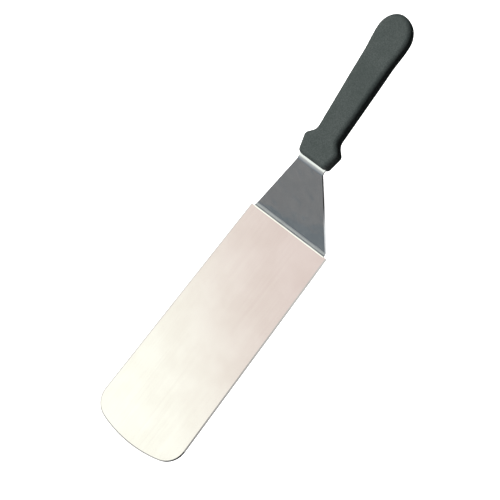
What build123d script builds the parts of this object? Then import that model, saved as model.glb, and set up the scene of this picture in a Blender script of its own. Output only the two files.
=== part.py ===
from build123d import *
import math
import os

# An offset spatula (turner): one folded sheet of stainless steel with a moulded handle on its tang.
# +X runs from the blade's front edge to the handle's butt, +Z is up, and the tool is the same on both
# sides of the XZ plane. The blade lies flat on Z = 0. The parts are drawn with the heel of the blade at
# X = 0 and are moved at the end, so that the origin is under the middle of the whole tool.

# ---- driving dimensions, in millimetres and degrees

SHEET = 1.5                    # thickness of the neck and the tang

BLADE_LENGTH = 203.2           # heel to the crown of the front edge
HEEL_WIDTH = 76.0
FRONT_WIDTH = 83.0
CROWN_RADIUS = 100.0           # the gentle curve of the front edge
FRONT_CORNER = 18.0
HEEL_CORNER = 0.6
GROUND_HEEL = 1.05             # the ground blade's thickness at its heel
GROUND_FRONT = 0.95            # and at the front edge
GROUND_END = 1.4               # the grind runs out this far past the heel, on the neck's side
WHEEL_ROUND = 5.0              # radius of the grinding wheel's corner, left where the grind runs out
EDGE_BEVEL_WIDTH = 1.1
EDGE_BEVEL_DEPTH = 0.4

NECK_FOOT_AT = 3.7             # from the heel to the corner of the heel bend
NECK_ANGLE = 47.76
NECK_LENGTH = 67.32            # from the corner of the heel bend to the corner under the handle
NECK_BASE_WIDTH = 70.0
NECK_SHOULDER = 1.8            # the neck keeps its base width this far past the heel
NECK_TOP_WIDTH = 24.6
HEEL_BEND = 3.5                # inside radius
TOP_BEND = 5.0                 # inside radius
BARE_TANG = 2.6                # steel between the upper corner and the handle's front

HANDLE_TILT = 13.0
HANDLE_LENGTH = 128.2
HANDLE_THICKNESS = 15.6
BUTT_THICKNESS = 13.0
FRONT_HALF = 12.8              # half widths of the handle, from front to butt
LOBE_HALF = 16.3
WAIST_HALF = 9.8
BELLY_HALF = 12.3
BUTT_HALF = 13.9
LOBE_AT = 15.2                 # where those half widths are
WAIST_AT = 22.2
BELLY_AT = 89.2
BUTT_AT = 111.2
FRONT_ROUND = 3.8              # corner radii of the outline, seen from above
LOBE_ROUND = 4.5
WAIST_ROUND = 8.0
THIN_FROM = 69.2               # the handle starts to thin here, towards the butt
THIN_ROUND = 150.0
EDGE_ROUND = 3.5               # along the top and the bottom of the handle
PARTING_WIDTH = 0.5            # the fine ridge that the two halves of the mould leave
PARTING_HEIGHT = 0.15

TANG_LENGTH = 98.0             # inside the handle
TANG_WIDTH = 11.0
TANG_SHOULDER = 5.0            # the tang keeps the neck's width this far into the handle
TANG_NARROW_AT = 24.0
LOCK_HOLE = 5.0
LOCK_HOLES_AT = (36.0, 60.0, 84.0)

# ---- corners of the folded sheet, seen from the side as (X, Z) on its underside

NECK_COS = math.cos(math.radians(NECK_ANGLE))
NECK_SIN = math.sin(math.radians(NECK_ANGLE))
NECK_FOOT = (NECK_FOOT_AT, 0)
NECK_TOP = (NECK_FOOT_AT + NECK_LENGTH * NECK_COS, NECK_LENGTH * NECK_SIN)
WHEEL_TURN = math.acos(1 - (SHEET - GROUND_HEEL) / WHEEL_ROUND)
GROUND_START = GROUND_END - WHEEL_ROUND * math.sin(WHEEL_TURN)   # where the ground face stops being flat
GROUND_SLOPE = (GROUND_HEEL - GROUND_FRONT) / BLADE_LENGTH
TILT_COS = math.cos(math.radians(HANDLE_TILT))
TILT_SIN = math.sin(math.radians(HANDLE_TILT))


def along_handle(start, distance):
    """A point of the side view, moved along the handle's direction."""
    return (start[0] + distance * TILT_COS, start[1] + distance * TILT_SIN)


def upper_corner(corner, angle_before, angle_after):
    """The corner of the sheet's upper face that lies over a corner of its underside."""
    middle = math.radians((angle_before + angle_after) / 2)
    reach = SHEET / math.cos(math.radians((angle_after - angle_before) / 2))
    return (corner[0] - reach * math.sin(middle), corner[1] + reach * math.cos(middle))


TANG_START = along_handle(NECK_TOP, BARE_TANG)
TANG_END = along_handle(TANG_START, TANG_LENGTH)

# The handle's own frame: X along it from its front face, Z out of its top, on the tang's middle plane.
handle_plane = Plane(
    origin=(TANG_START[0] - SHEET / 2 * TILT_SIN, 0, TANG_START[1] + SHEET / 2 * TILT_COS),
    x_dir=(TILT_COS, 0, TILT_SIN),
    z_dir=(-TILT_SIN, 0, TILT_COS),
)
UPRIGHT = (TILT_SIN, 0, TILT_COS)   # straight up, in the handle's own frame


def both_sides(half_edges):
    """The face between a half outline, which starts and ends on the X axis, and its mirror image."""
    half = Curve() + half_edges
    return make_face(half + mirror(half, about=Plane.XZ))


def folded_strip():
    """The sheet as bent and ground, still as wide as the blade all the way along."""
    lower = FilletPolyline(
        (-BLADE_LENGTH, 0), NECK_FOOT, NECK_TOP, TANG_END,
        radius=(HEEL_BEND + SHEET, TOP_BEND),
    )
    foot = upper_corner(NECK_FOOT, 0, NECK_ANGLE)
    top = upper_corner(NECK_TOP, NECK_ANGLE, HANDLE_TILT)
    end = upper_corner(TANG_END, HANDLE_TILT, HANDLE_TILT)
    bent = FilletPolyline(
        (GROUND_END, SHEET), foot, top, end,
        radius=(HEEL_BEND, TOP_BEND + SHEET),
    )
    ground_start = (GROUND_START, GROUND_HEEL + GROUND_START * GROUND_SLOPE)
    run_out = RadiusArc(ground_start, (GROUND_END, SHEET), -WHEEL_ROUND)
    ground = Polyline(ground_start, (-BLADE_LENGTH, GROUND_FRONT), (-BLADE_LENGTH, 0))
    side_view = make_face(Plane.XZ * (Curve() + [lower, bent, run_out, ground, Line(TANG_END, end)]))
    return extrude(side_view, FRONT_WIDTH, both=True)


def blade_outline():
    """The blade seen from above: flared sides, rounded corners and a crowned front edge."""
    crown_centre = -BLADE_LENGTH + CROWN_RADIUS
    half = FRONT_WIDTH / 2
    corner_y = half - FRONT_CORNER
    corner_x = crown_centre - math.sqrt((CROWN_RADIUS - FRONT_CORNER) ** 2 - corner_y ** 2)
    turn = math.atan2(corner_y, crown_centre - corner_x)
    crown = CenterArc((crown_centre, 0), CROWN_RADIUS, 180 - math.degrees(turn), math.degrees(turn))
    corner = CenterArc((corner_x, corner_y), FRONT_CORNER, 90, 90 - math.degrees(turn))
    side = Polyline(corner @ 0, (0, HEEL_WIDTH / 2), (0, 0))
    return both_sides([crown, corner, side])


def neck_outline():
    """The neck in its own plane, measured from the heel bend's corner: wide at the heel, then tapered."""
    base = NECK_BASE_WIDTH / 2
    top = NECK_TOP_WIDTH / 2
    start = -2 * NECK_FOOT_AT * NECK_COS
    shoulder = -(NECK_FOOT_AT - NECK_SHOULDER) * NECK_COS
    edge = Polyline(
        (start, 0), (start, base), (shoulder, base),
        (NECK_LENGTH - BARE_TANG / 2, top), (NECK_LENGTH + BARE_TANG / 2, top),
        (NECK_LENGTH + BARE_TANG / 2, 0),
    )
    return both_sides([edge])


def tang_outline():
    """The tang in the handle's plane, with its round end and its locking holes."""
    wide = NECK_TOP_WIDTH / 2
    narrow = TANG_WIDTH / 2
    edge = Polyline(
        (-BARE_TANG, 0), (-BARE_TANG, wide), (TANG_SHOULDER, wide),
        (TANG_NARROW_AT, narrow), (TANG_LENGTH - narrow, narrow),
    )
    end = CenterArc((TANG_LENGTH - narrow, 0), narrow, 0, 90)
    outline = both_sides([edge, end])
    for hole_at in LOCK_HOLES_AT:
        outline -= Pos(hole_at, 0) * Circle(LOCK_HOLE / 2)
    return outline


def is_ground_face(face):
    """Whether a face is the blade's wide upper face."""
    return face.normal_at().Z > 0 and face.area > HEEL_WIDTH * BLADE_LENGTH / 2


def ground_blade():
    """The flat of the blade: ground thinner to the front, bevelled all round but at the heel."""
    side_view = make_face(Plane.XZ * Polyline(
        (-BLADE_LENGTH, 0), (0, 0), (0, GROUND_HEEL), (-BLADE_LENGTH, GROUND_FRONT), close=True,
    ))
    flat = extrude(side_view, FRONT_WIDTH, both=True) & extrude(blade_outline(), SHEET)
    ground_face = flat.faces().filter_by(is_ground_face)[0]
    rim = ground_face.edges().filter_by(lambda edge: edge.center().X < -HEEL_CORNER)
    flat = chamfer(rim, EDGE_BEVEL_WIDTH, EDGE_BEVEL_DEPTH, reference=ground_face)
    heel_corners = flat.edges().filter_by(Axis.Z).filter_by(lambda edge: edge.center().X > -HEEL_CORNER)
    return fillet(heel_corners, HEEL_CORNER)


def make_blade():
    """The one piece of steel: blade, heel bend, neck, upper bend and tang."""
    strip = folded_strip()
    reach = 3 * HEEL_BEND
    neck_plane = Plane(
        origin=(NECK_FOOT_AT, 0, 0),
        x_dir=(NECK_COS, 0, NECK_SIN),
        z_dir=(-NECK_SIN, 0, NECK_COS),
    )
    neck = strip & extrude(neck_plane * neck_outline(), reach, both=True)
    tang = strip & extrude(handle_plane * tang_outline(), reach, both=True)
    return ground_blade() + neck + tang


def handle_outline(margin=0):
    """The handle seen from above, grown by a margin everywhere but at its front face."""
    rise = (BELLY_HALF - WAIST_HALF) / (BELLY_AT - WAIST_AT)
    lobe = LOBE_HALF + margin
    waist = WAIST_HALF + margin
    belly = BELLY_HALF + margin
    butt = BUTT_HALF + margin
    front_edge = FilletPolyline(
        (0, 0), (0, FRONT_HALF + margin), (LOBE_AT, lobe), (WAIST_AT, waist), (BELLY_AT, belly),
        radius=(FRONT_ROUND, LOBE_ROUND, WAIST_ROUND),
    )
    belly_edge = Spline((BELLY_AT, belly), (BUTT_AT, butt), tangents=((1, rise), (1, 0)))
    butt_end = EllipticalCenterArc((BUTT_AT, 0), HANDLE_LENGTH - BUTT_AT + margin, butt, 0, arc_size=90)
    return both_sides([front_edge, belly_edge, butt_end])


def handle_side_view():
    """The handle seen from the side, run on past both ends: level, then thinner towards its butt."""
    half = HANDLE_THICKNESS / 2
    butt = BUTT_THICKNESS / 2
    slope = (half - butt) / (HANDLE_LENGTH - THIN_FROM)
    start = -HANDLE_THICKNESS
    end = HANDLE_LENGTH + HANDLE_THICKNESS
    edge = FilletPolyline(
        (start, half), (THIN_FROM, half), (end, butt - slope * HANDLE_THICKNESS),
        radius=THIN_ROUND,
    )
    return both_sides([Line((start, 0), edge @ 0), edge, Line(edge @ 1, (end, 0))])


def is_rim(edge):
    """Whether an edge of the handle's body runs round its top face or its bottom face."""
    ends = edge.vertices()
    on_one_face = all(end.Z > EDGE_ROUND for end in ends) or all(end.Z < -EDGE_ROUND for end in ends)
    crosses_the_face = ends[0].X > HANDLE_THICKNESS and abs(ends[0].Y - ends[-1].Y) > LOBE_HALF
    return on_one_face and not crosses_the_face


def make_handle(blade):
    """The moulded handle, with the tang's pocket in it and plastic through the locking holes.

    Its walls and its front stand upright while the blade lies flat.
    """
    seen_from_above = extrude(handle_outline(), HANDLE_THICKNESS, dir=UPRIGHT, both=True)
    seen_from_side = extrude(Plane.XZ * handle_side_view(), 2 * LOBE_HALF, both=True)
    body = seen_from_above & seen_from_side
    body = fillet(body.edges().filter_by(is_rim), EDGE_ROUND)
    body += extrude(handle_outline(PARTING_HEIGHT), PARTING_WIDTH / 2, dir=UPRIGHT, both=True)
    return handle_plane * body - blade


os.makedirs("parts", exist_ok=True)

blade = make_blade()
handle = make_handle(blade)
whole = Compound([blade, handle]).bounding_box()
to_origin = Pos(-whole.center().X, 0, 0)

export_step(to_origin * blade, "parts/blade.step")
export_step(to_origin * handle, "parts/handle.step")
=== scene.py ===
import math

import bpy
from mathutils import Matrix, Vector


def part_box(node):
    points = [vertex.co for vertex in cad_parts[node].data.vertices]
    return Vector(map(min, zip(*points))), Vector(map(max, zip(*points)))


# The looks of an offset turner: a satin ground steel blade with a buffed neck, and a black moulded
# handle with a fine grain. Lengths are in metres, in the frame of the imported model: +X runs from the
# blade's front edge to the handle's butt, +Z is up, and the blade lies flat on Z = 0.

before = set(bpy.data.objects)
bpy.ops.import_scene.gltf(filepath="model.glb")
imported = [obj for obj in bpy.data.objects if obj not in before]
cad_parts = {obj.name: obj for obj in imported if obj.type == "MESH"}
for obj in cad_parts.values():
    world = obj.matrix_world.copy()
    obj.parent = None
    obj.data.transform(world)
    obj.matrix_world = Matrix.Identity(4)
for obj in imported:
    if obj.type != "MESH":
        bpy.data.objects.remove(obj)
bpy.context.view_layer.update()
blade_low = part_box("blade")[0]
handle_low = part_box("handle")[0]

BLADE_LENGTH = 0.2032
HEEL_X = blade_low.x + BLADE_LENGTH

# ---- camera: seen from above and a little from one side, with a long lens

VIEW_TILT = math.radians(20.0)        # away from straight down, towards -Y
VIEW_TURN = math.radians(0.53)        # and towards +X
VIEW_ROLL = math.radians(52.66)
VIEW_DISTANCE = 1.910
LENS = 180.0
AIM_RIGHT = 0.0298                    # where the camera looks, seen from the heel
AIM_UP = 0.0144

# ---- floor

FLOOR_SIZE = 12.0
FLOOR_GAP = 0.0002                          # keeps it clear of the blade's underside
FLOOR_WHITE = (0.90, 0.90, 0.895, 1)        # as it looks
FLOOR_GLOW = 0.90                           # fades the shadow on it
FLOOR_BOUNCE = (0.18, 0.18, 0.18, 1)        # what it throws back on the tool
PAINTED_REFLECTION_UNDER_NECK = (0.70, 0.71, 0.71, 1)   # a brighter floor patch under the neck, seen in reflections only: a painted reflection
# painted shade: a near-black floor patch under the handle, seen by every ray but the camera's
PAINTED_SHADE_UNDER_HANDLE = (0.01, 0.01, 0.01, 1)
NECK_PATCH_FADE = 0.010                     # the painted reflection patch fades in over this length up to the heel
HANDLE_PATCH_STARTS = 0.030                 # in front of the handle; the painted shade patch starts to fade in
HANDLE_PATCH_FULL = 0.010

# ---- lights

KEY_FROM = Vector((-0.16, 0.26, 0.95))
KEY_STRENGTH = 3.3
KEY_ANGLE = math.radians(44)

BOX_FROM = Vector((-0.05, 0.34, 0.94)).normalized()
BOX_CORE = math.radians(25)           # full brightness inside this angle
BOX_EDGE = math.radians(38)
BOX_TINT_ALONG = (-0.75, 0.66, 0.0)   # the soft box turns from pink to white in this direction
BOX_TINT_FROM = 0.240
BOX_TINT_TO = 0.272
BOX_PINK = (0.84, 0.72, 0.695, 1)
BOX_WHITE = (1.24, 1.29, 1.19, 1)

FILL_FROM = Vector((0.15, -0.34, 0.93)).normalized()
FILL_CORE = math.radians(6)
FILL_EDGE = math.radians(17)
FILL_GREY = (0.75, 0.75, 0.74, 1)

ROOM_LOW = (0.15, 0.185, 0.21, 1)
ROOM_HIGH = (0.52, 0.53, 0.53, 1)
ROOM_FAR = (0.80, 0.80, 0.79, 1)      # the side towards +Y
ROOM_NEAR = (0.035, 0.038, 0.04, 1)   # the side towards -Y
ROOM_NEAR_SHOWN = (0.24, 0.25, 0.26, 1)   # the same side in reflections
ROOM_BEHIND = (0.95, 0.95, 0.95, 1)   # behind the tool, as it looks

# ---- finishes

NECK_FINISH_FROM = 0.0002             # past the heel, the satin of the blade ends
NECK_FINISH_TO = 0.0012
BEND_FINISH_FROM = 0.0020             # and the duller finish of the heel bend fades out
BEND_FINISH_TO = 0.0050
BLADE_DEEP = (0.83, 0.80, 0.765, 1)
BLADE_PALE = (0.87, 0.85, 0.82, 1)
NECK_DEEP = (0.66, 0.68, 0.70, 1)
NECK_PALE = (0.74, 0.75, 0.76, 1)
BEND_GREY = (0.40, 0.42, 0.44, 1)
# the edges' colour: partly burnished wear, partly a painted edge highlight
STEEL_WEAR_AND_EDGE_HIGHLIGHT = (0.93, 0.92, 0.91, 1)

PLASTIC_DEEP = (0.045, 0.057, 0.054, 1)
PLASTIC_PALE = (0.063, 0.075, 0.072, 1)
PLASTIC_PITS = (0.020, 0.028, 0.027, 1)
# the edges' colour: partly rubbed wear, partly a painted edge highlight
PLASTIC_WEAR_AND_EDGE_HIGHLIGHT = (0.075, 0.085, 0.082, 1)


def new_material(name):
    """An empty node material and its shader."""
    material = bpy.data.materials.new(name)
    material.use_nodes = True
    material.node_tree.nodes.clear()
    output = material.node_tree.nodes.new("ShaderNodeOutputMaterial")
    shader = material.node_tree.nodes.new("ShaderNodeBsdfPrincipled")
    material.node_tree.links.new(shader.outputs["BSDF"], output.inputs["Surface"])
    return material, shader


class Graph:
    """Short calls for adding nodes to one node tree."""

    def __init__(self, tree):
        self.tree = tree

    def node(self, kind, **settings):
        made = self.tree.nodes.new(kind)
        for name, value in settings.items():
            setattr(made, name, value)
        return made

    def put(self, value, socket):
        """Link a socket, or set a plain value."""
        if isinstance(value, bpy.types.NodeSocket):
            self.tree.links.new(value, socket)
        else:
            socket.default_value = value

    def math(self, operation, a, b):
        made = self.node("ShaderNodeMath", operation=operation)
        self.put(a, made.inputs[0])
        self.put(b, made.inputs[1])
        return made.outputs[0]

    def position(self):
        """The point on the object in metres; the CAD objects sit at the origin."""
        return self.node("ShaderNodeTexCoord").outputs["Object"]

    def axis(self, vector, name):
        made = self.node("ShaderNodeSeparateXYZ")
        self.put(vector, made.inputs[0])
        return made.outputs[name]

    def stretched(self, vector, scale):
        made = self.node("ShaderNodeMapping")
        self.put(vector, made.inputs["Vector"])
        made.inputs["Scale"].default_value = scale
        return made.outputs[0]

    def noise(self, vector, scale, detail, roughness=0.5):
        made = self.node("ShaderNodeTexNoise")
        self.put(vector, made.inputs["Vector"])
        made.inputs["Scale"].default_value = scale
        made.inputs["Detail"].default_value = detail
        made.inputs["Roughness"].default_value = roughness
        return made.outputs["Fac"]

    def pebbles(self, vector, scale):
        """Rounded cells: the distance from the middle of each."""
        made = self.node("ShaderNodeTexVoronoi", feature="SMOOTH_F1")
        self.put(vector, made.inputs["Vector"])
        made.inputs["Scale"].default_value = scale
        return made.outputs["Distance"]

    def spread(self, value, low, high, to_low=0.0, to_high=1.0, smooth=True):
        """Map a value from low..high to another range, clamped."""
        kind = "SMOOTHSTEP" if smooth else "LINEAR"
        made = self.node("ShaderNodeMapRange", interpolation_type=kind)
        for item, socket in zip((value, low, high, to_low, to_high), made.inputs[:5]):
            self.put(item, socket)
        return made.outputs[0]

    def mix(self, factor, a, b, kind="RGBA"):
        made = self.node("ShaderNodeMix", data_type=kind)
        self.put(factor, made.inputs["Factor"])
        self.put(a, made.inputs["A"])
        self.put(b, made.inputs["B"])
        return made.outputs["Result"]

    def bump(self, height, distance, under=None):
        """Relief of so many metres, on top of the relief of another bump."""
        made = self.node("ShaderNodeBump")
        made.inputs["Distance"].default_value = distance
        self.put(height, made.inputs["Height"])
        if under is not None:
            self.put(under, made.inputs["Normal"])
        return made.outputs["Normal"]

    def edge_mask(self, radius, low, high):
        """1 along sharp edges and 0 on open faces, from how far a bevelled normal leans away."""
        bevelled = self.node("ShaderNodeBevel", samples=6)
        bevelled.inputs["Radius"].default_value = radius
        plain = self.node("ShaderNodeNewGeometry").outputs["Normal"]
        facing = self.node("ShaderNodeVectorMath", operation="DOT_PRODUCT")
        self.put(bevelled.outputs[0], facing.inputs[0])
        self.put(plain, facing.inputs[1])
        return self.spread(facing.outputs["Value"], high, low)


def steel_material():
    """Stainless steel: ground to a satin on the blade, buffed bright on the neck."""
    material, shader = new_material("stainless_steel")
    g = Graph(material.node_tree)
    place = g.position()
    along = g.axis(place, "X")
    neck = g.spread(along, HEEL_X + NECK_FINISH_FROM, HEEL_X + NECK_FINISH_TO)
    bend = g.math("MULTIPLY", neck, g.spread(along, HEEL_X + BEND_FINISH_TO, HEEL_X + BEND_FINISH_FROM))
    edge = g.edge_mask(radius=0.0006, low=0.80, high=0.99)

    grain = g.noise(g.stretched(place, (9, 900, 900)), scale=1.0, detail=3.0)
    fine_grain = g.noise(g.stretched(place, (30, 4200, 4200)), scale=1.0, detail=2.0)
    clouds = g.noise(place, scale=28.0, detail=3.0)
    smudges = g.noise(g.stretched(place, (1, 1.6, 1)), scale=60.0, detail=5.0, roughness=0.62)
    rolled = g.noise(g.stretched(place, (1, 1.3, 1)), scale=58.0, detail=1.0)

    blade_colour = g.mix(g.spread(clouds, 0.35, 0.65), BLADE_DEEP, BLADE_PALE)
    neck_colour = g.mix(g.spread(smudges, 0.35, 0.7), NECK_DEEP, NECK_PALE)
    neck_colour = g.mix(bend, neck_colour, BEND_GREY)
    colour = g.mix(neck, blade_colour, neck_colour)
    # lighter along the edges: partly burnished wear, partly a painted edge highlight
    g.put(g.mix(g.math("MULTIPLY", edge, 0.35), colour, STEEL_WEAR_AND_EDGE_HIGHLIGHT), shader.inputs["Base Color"])
    shader.inputs["Metallic"].default_value = 1.0

    satin = g.spread(grain, 0.3, 0.7, to_low=0.10, to_high=0.14, smooth=False)
    buffed = g.spread(smudges, 0.3, 0.75, to_low=0.09, to_high=0.17, smooth=False)
    buffed = g.math("ADD", buffed, g.math("MULTIPLY", bend, 0.22))
    rough = g.mix(neck, satin, buffed, kind="FLOAT")
    g.put(g.math("SUBTRACT", rough, g.math("MULTIPLY", edge, 0.05)), shader.inputs["Roughness"])

    grain_here = g.math("SUBTRACT", 1.0, g.math("MULTIPLY", neck, 0.86))
    lines = g.math("ADD", g.math("MULTIPLY", grain, 0.6), g.math("MULTIPLY", fine_grain, 0.4))
    blade_waves = g.bump(clouds, distance=0.00003)
    waves = g.bump(g.math("MULTIPLY", rolled, neck), distance=0.0007, under=blade_waves)
    normal = g.bump(g.math("MULTIPLY", lines, grain_here), distance=0.000004, under=waves)
    g.put(normal, shader.inputs["Normal"])
    return material


def handle_material():
    """Black polypropylene with a fine eroded grain, rubbed a little smoother along its edges, which are
    lightened partly by wear and partly by a painted edge highlight.
    """
    material, shader = new_material("moulded_polypropylene")
    g = Graph(material.node_tree)
    place = g.position()

    pebbles = g.pebbles(place, scale=1300.0)
    grit = g.noise(place, scale=3600.0, detail=2.0)
    patches = g.noise(place, scale=55.0, detail=4.0, roughness=0.6)
    sink = g.noise(g.stretched(place, (0.7, 1, 1)), scale=32.0, detail=1.0)
    edge = g.edge_mask(radius=0.0016, low=0.86, high=0.995)

    colour = g.mix(g.spread(patches, 0.3, 0.7), PLASTIC_DEEP, PLASTIC_PALE)
    colour = g.mix(g.spread(pebbles, 0.15, 0.6, to_low=0.0, to_high=0.55), colour, PLASTIC_PITS)
    # lighter along the edges: partly rubbed wear, partly a painted edge highlight
    g.put(g.mix(g.math("MULTIPLY", edge, 0.25), colour, PLASTIC_WEAR_AND_EDGE_HIGHLIGHT), shader.inputs["Base Color"])

    dull = g.spread(patches, 0.3, 0.7, to_low=0.50, to_high=0.60, smooth=False)
    g.put(g.math("SUBTRACT", dull, g.math("MULTIPLY", edge, 0.10)), shader.inputs["Roughness"])
    shader.inputs["Specular IOR Level"].default_value = 0.35

    height = g.math("ADD", g.math("MULTIPLY", pebbles, 0.75), g.math("MULTIPLY", grit, 0.25))
    normal = g.bump(height, distance=0.00022, under=g.bump(sink, distance=0.00025))
    g.put(normal, shader.inputs["Normal"])
    return material


def dress(node, material):
    """Give a CAD node its material; its mesh and place stay as they are."""
    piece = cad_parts[node]
    for material_slot in piece.material_slots:
        material_slot.link = "OBJECT"
        material_slot.material = material


def add_floor():
    """A pale floor that looks white but throws only a little light back up, with a painted shade patch
    under the handle and a brighter painted reflection patch under the neck.
    """
    mesh = bpy.data.meshes.new("floor")
    half = FLOOR_SIZE / 2
    corners = [(-half, -half, 0), (half, -half, 0), (half, half, 0), (-half, half, 0)]
    mesh.from_pydata(corners, [], [(0, 1, 2, 3)])
    floor = bpy.data.objects.new("floor", mesh)
    bpy.context.scene.collection.objects.link(floor)
    floor.location.z = min(blade_low.z, handle_low.z) - FLOOR_GAP
    material, shader = new_material("pale_floor")
    g = Graph(material.node_tree)
    paths = g.node("ShaderNodeLightPath").outputs
    seen = paths["Is Camera Ray"]
    along = g.axis(g.position(), "X")
    # painted reflection: glossy rays see the floor brighter from the heel on, under the neck
    past_heel = g.spread(along, HEEL_X - NECK_PATCH_FADE, HEEL_X)
    painted_reflection_mask = g.math("MULTIPLY", past_heel, paths["Is Glossy Ray"])
    # painted shade: the floor darkens towards and under the handle for all rays but the camera's
    painted_shade_mask = g.spread(along, handle_low.x - HANDLE_PATCH_STARTS, handle_low.x - HANDLE_PATCH_FULL)
    bounce_with_painted_patches = g.mix(painted_reflection_mask, FLOOR_BOUNCE, PAINTED_REFLECTION_UNDER_NECK)
    bounce_with_painted_patches = g.mix(painted_shade_mask, bounce_with_painted_patches, PAINTED_SHADE_UNDER_HANDLE)
    # the camera sees the plain white floor; other rays see the bounce with its painted reflection and
    # painted shade patches
    g.put(g.mix(seen, bounce_with_painted_patches, FLOOR_WHITE), shader.inputs["Base Color"])
    shader.inputs["Emission Color"].default_value = (1, 1, 1, 1)
    g.put(g.math("MULTIPLY", seen, FLOOR_GLOW), shader.inputs["Emission Strength"])
    shader.inputs["Roughness"].default_value = 0.9
    shader.inputs["Specular IOR Level"].default_value = 0.0
    mesh.materials.append(material)


def add_world():
    """A large soft box overhead and a little behind, and a small fill card, in a dim grey room."""
    world = bpy.data.worlds.new("studio")
    bpy.context.scene.world = world
    world.use_nodes = True
    world.node_tree.nodes.clear()
    g = Graph(world.node_tree)
    direction = g.node("ShaderNodeTexCoord").outputs["Generated"]

    def towards(vector):
        made = g.node("ShaderNodeVectorMath", operation="DOT_PRODUCT")
        g.put(direction, made.inputs[0])
        made.inputs[1].default_value = vector
        return made.outputs["Value"]

    def patch(centre, edge, core):
        """1 inside the core angle round a direction, fading to 0 at the edge angle."""
        return g.spread(towards(centre), math.cos(edge), math.cos(core))

    up = g.axis(direction, "Z")
    across = g.axis(direction, "Y")
    paths = g.node("ShaderNodeLightPath").outputs

    room = g.mix(g.spread(up, -0.1, 0.7), ROOM_LOW, ROOM_HIGH)
    room = g.mix(g.spread(across, 0.35, 0.85), room, ROOM_FAR)
    reflected = g.math("SUBTRACT", 1.0, paths["Is Diffuse Ray"])
    shown = g.math("MULTIPLY", g.spread(up, 0.90, 0.70), reflected)
    near_side = g.mix(shown, ROOM_NEAR, ROOM_NEAR_SHOWN)
    room = g.mix(g.spread(across, -0.10, 0.12), near_side, room)
    room = g.mix(patch(FILL_FROM, FILL_EDGE, FILL_CORE), room, FILL_GREY)

    tint = g.spread(towards(BOX_TINT_ALONG), BOX_TINT_FROM, BOX_TINT_TO)
    box_colour = g.mix(tint, BOX_PINK, BOX_WHITE)
    light = g.mix(patch(BOX_FROM, BOX_EDGE, BOX_CORE), room, box_colour)
    background = g.node("ShaderNodeBackground")
    g.put(g.mix(paths["Is Camera Ray"], light, ROOM_BEHIND), background.inputs["Color"])
    output = g.node("ShaderNodeOutputWorld")
    world.node_tree.links.new(background.outputs[0], output.inputs["Surface"])


def add_key():
    """One broad soft key light; the steel shows the soft box instead of it."""
    light = bpy.data.lights.new("key", "SUN")
    light.energy = KEY_STRENGTH
    light.angle = KEY_ANGLE
    key = bpy.data.objects.new("key", light)
    bpy.context.scene.collection.objects.link(key)
    key.rotation_mode = "QUATERNION"
    key.rotation_quaternion = KEY_FROM.to_track_quat("Z", "Y")
    key.visible_glossy = False


def add_camera():
    """The camera, rolled so that the tool lies across the picture with its handle up and to the right."""
    back = Vector((
        math.sin(VIEW_TURN),
        -math.sin(VIEW_TILT) * math.cos(VIEW_TURN),
        math.cos(VIEW_TILT) * math.cos(VIEW_TURN),
    ))
    level = (Vector((1, 0, 0)) - back * back.x).normalized()
    across = back.cross(level)
    right = level * math.cos(VIEW_ROLL) - across * math.sin(VIEW_ROLL)
    up = level * math.sin(VIEW_ROLL) + across * math.cos(VIEW_ROLL)
    data = bpy.data.cameras.new("camera")
    data.lens = LENS
    data.sensor_width = 36.0
    data.clip_start = 0.05
    data.clip_end = 50.0
    camera = bpy.data.objects.new("camera", data)
    bpy.context.scene.collection.objects.link(camera)
    camera.matrix_world = Matrix((right, up, back)).transposed().to_4x4()
    heel = Vector((HEEL_X, 0, 0))
    camera.location = heel + back * VIEW_DISTANCE - right * AIM_RIGHT - up * AIM_UP
    bpy.context.scene.camera = camera


dress("blade", steel_material())
dress("handle", handle_material())
add_floor()
add_world()
add_key()
add_camera()
bpy.context.scene.view_settings.view_transform = "Standard"
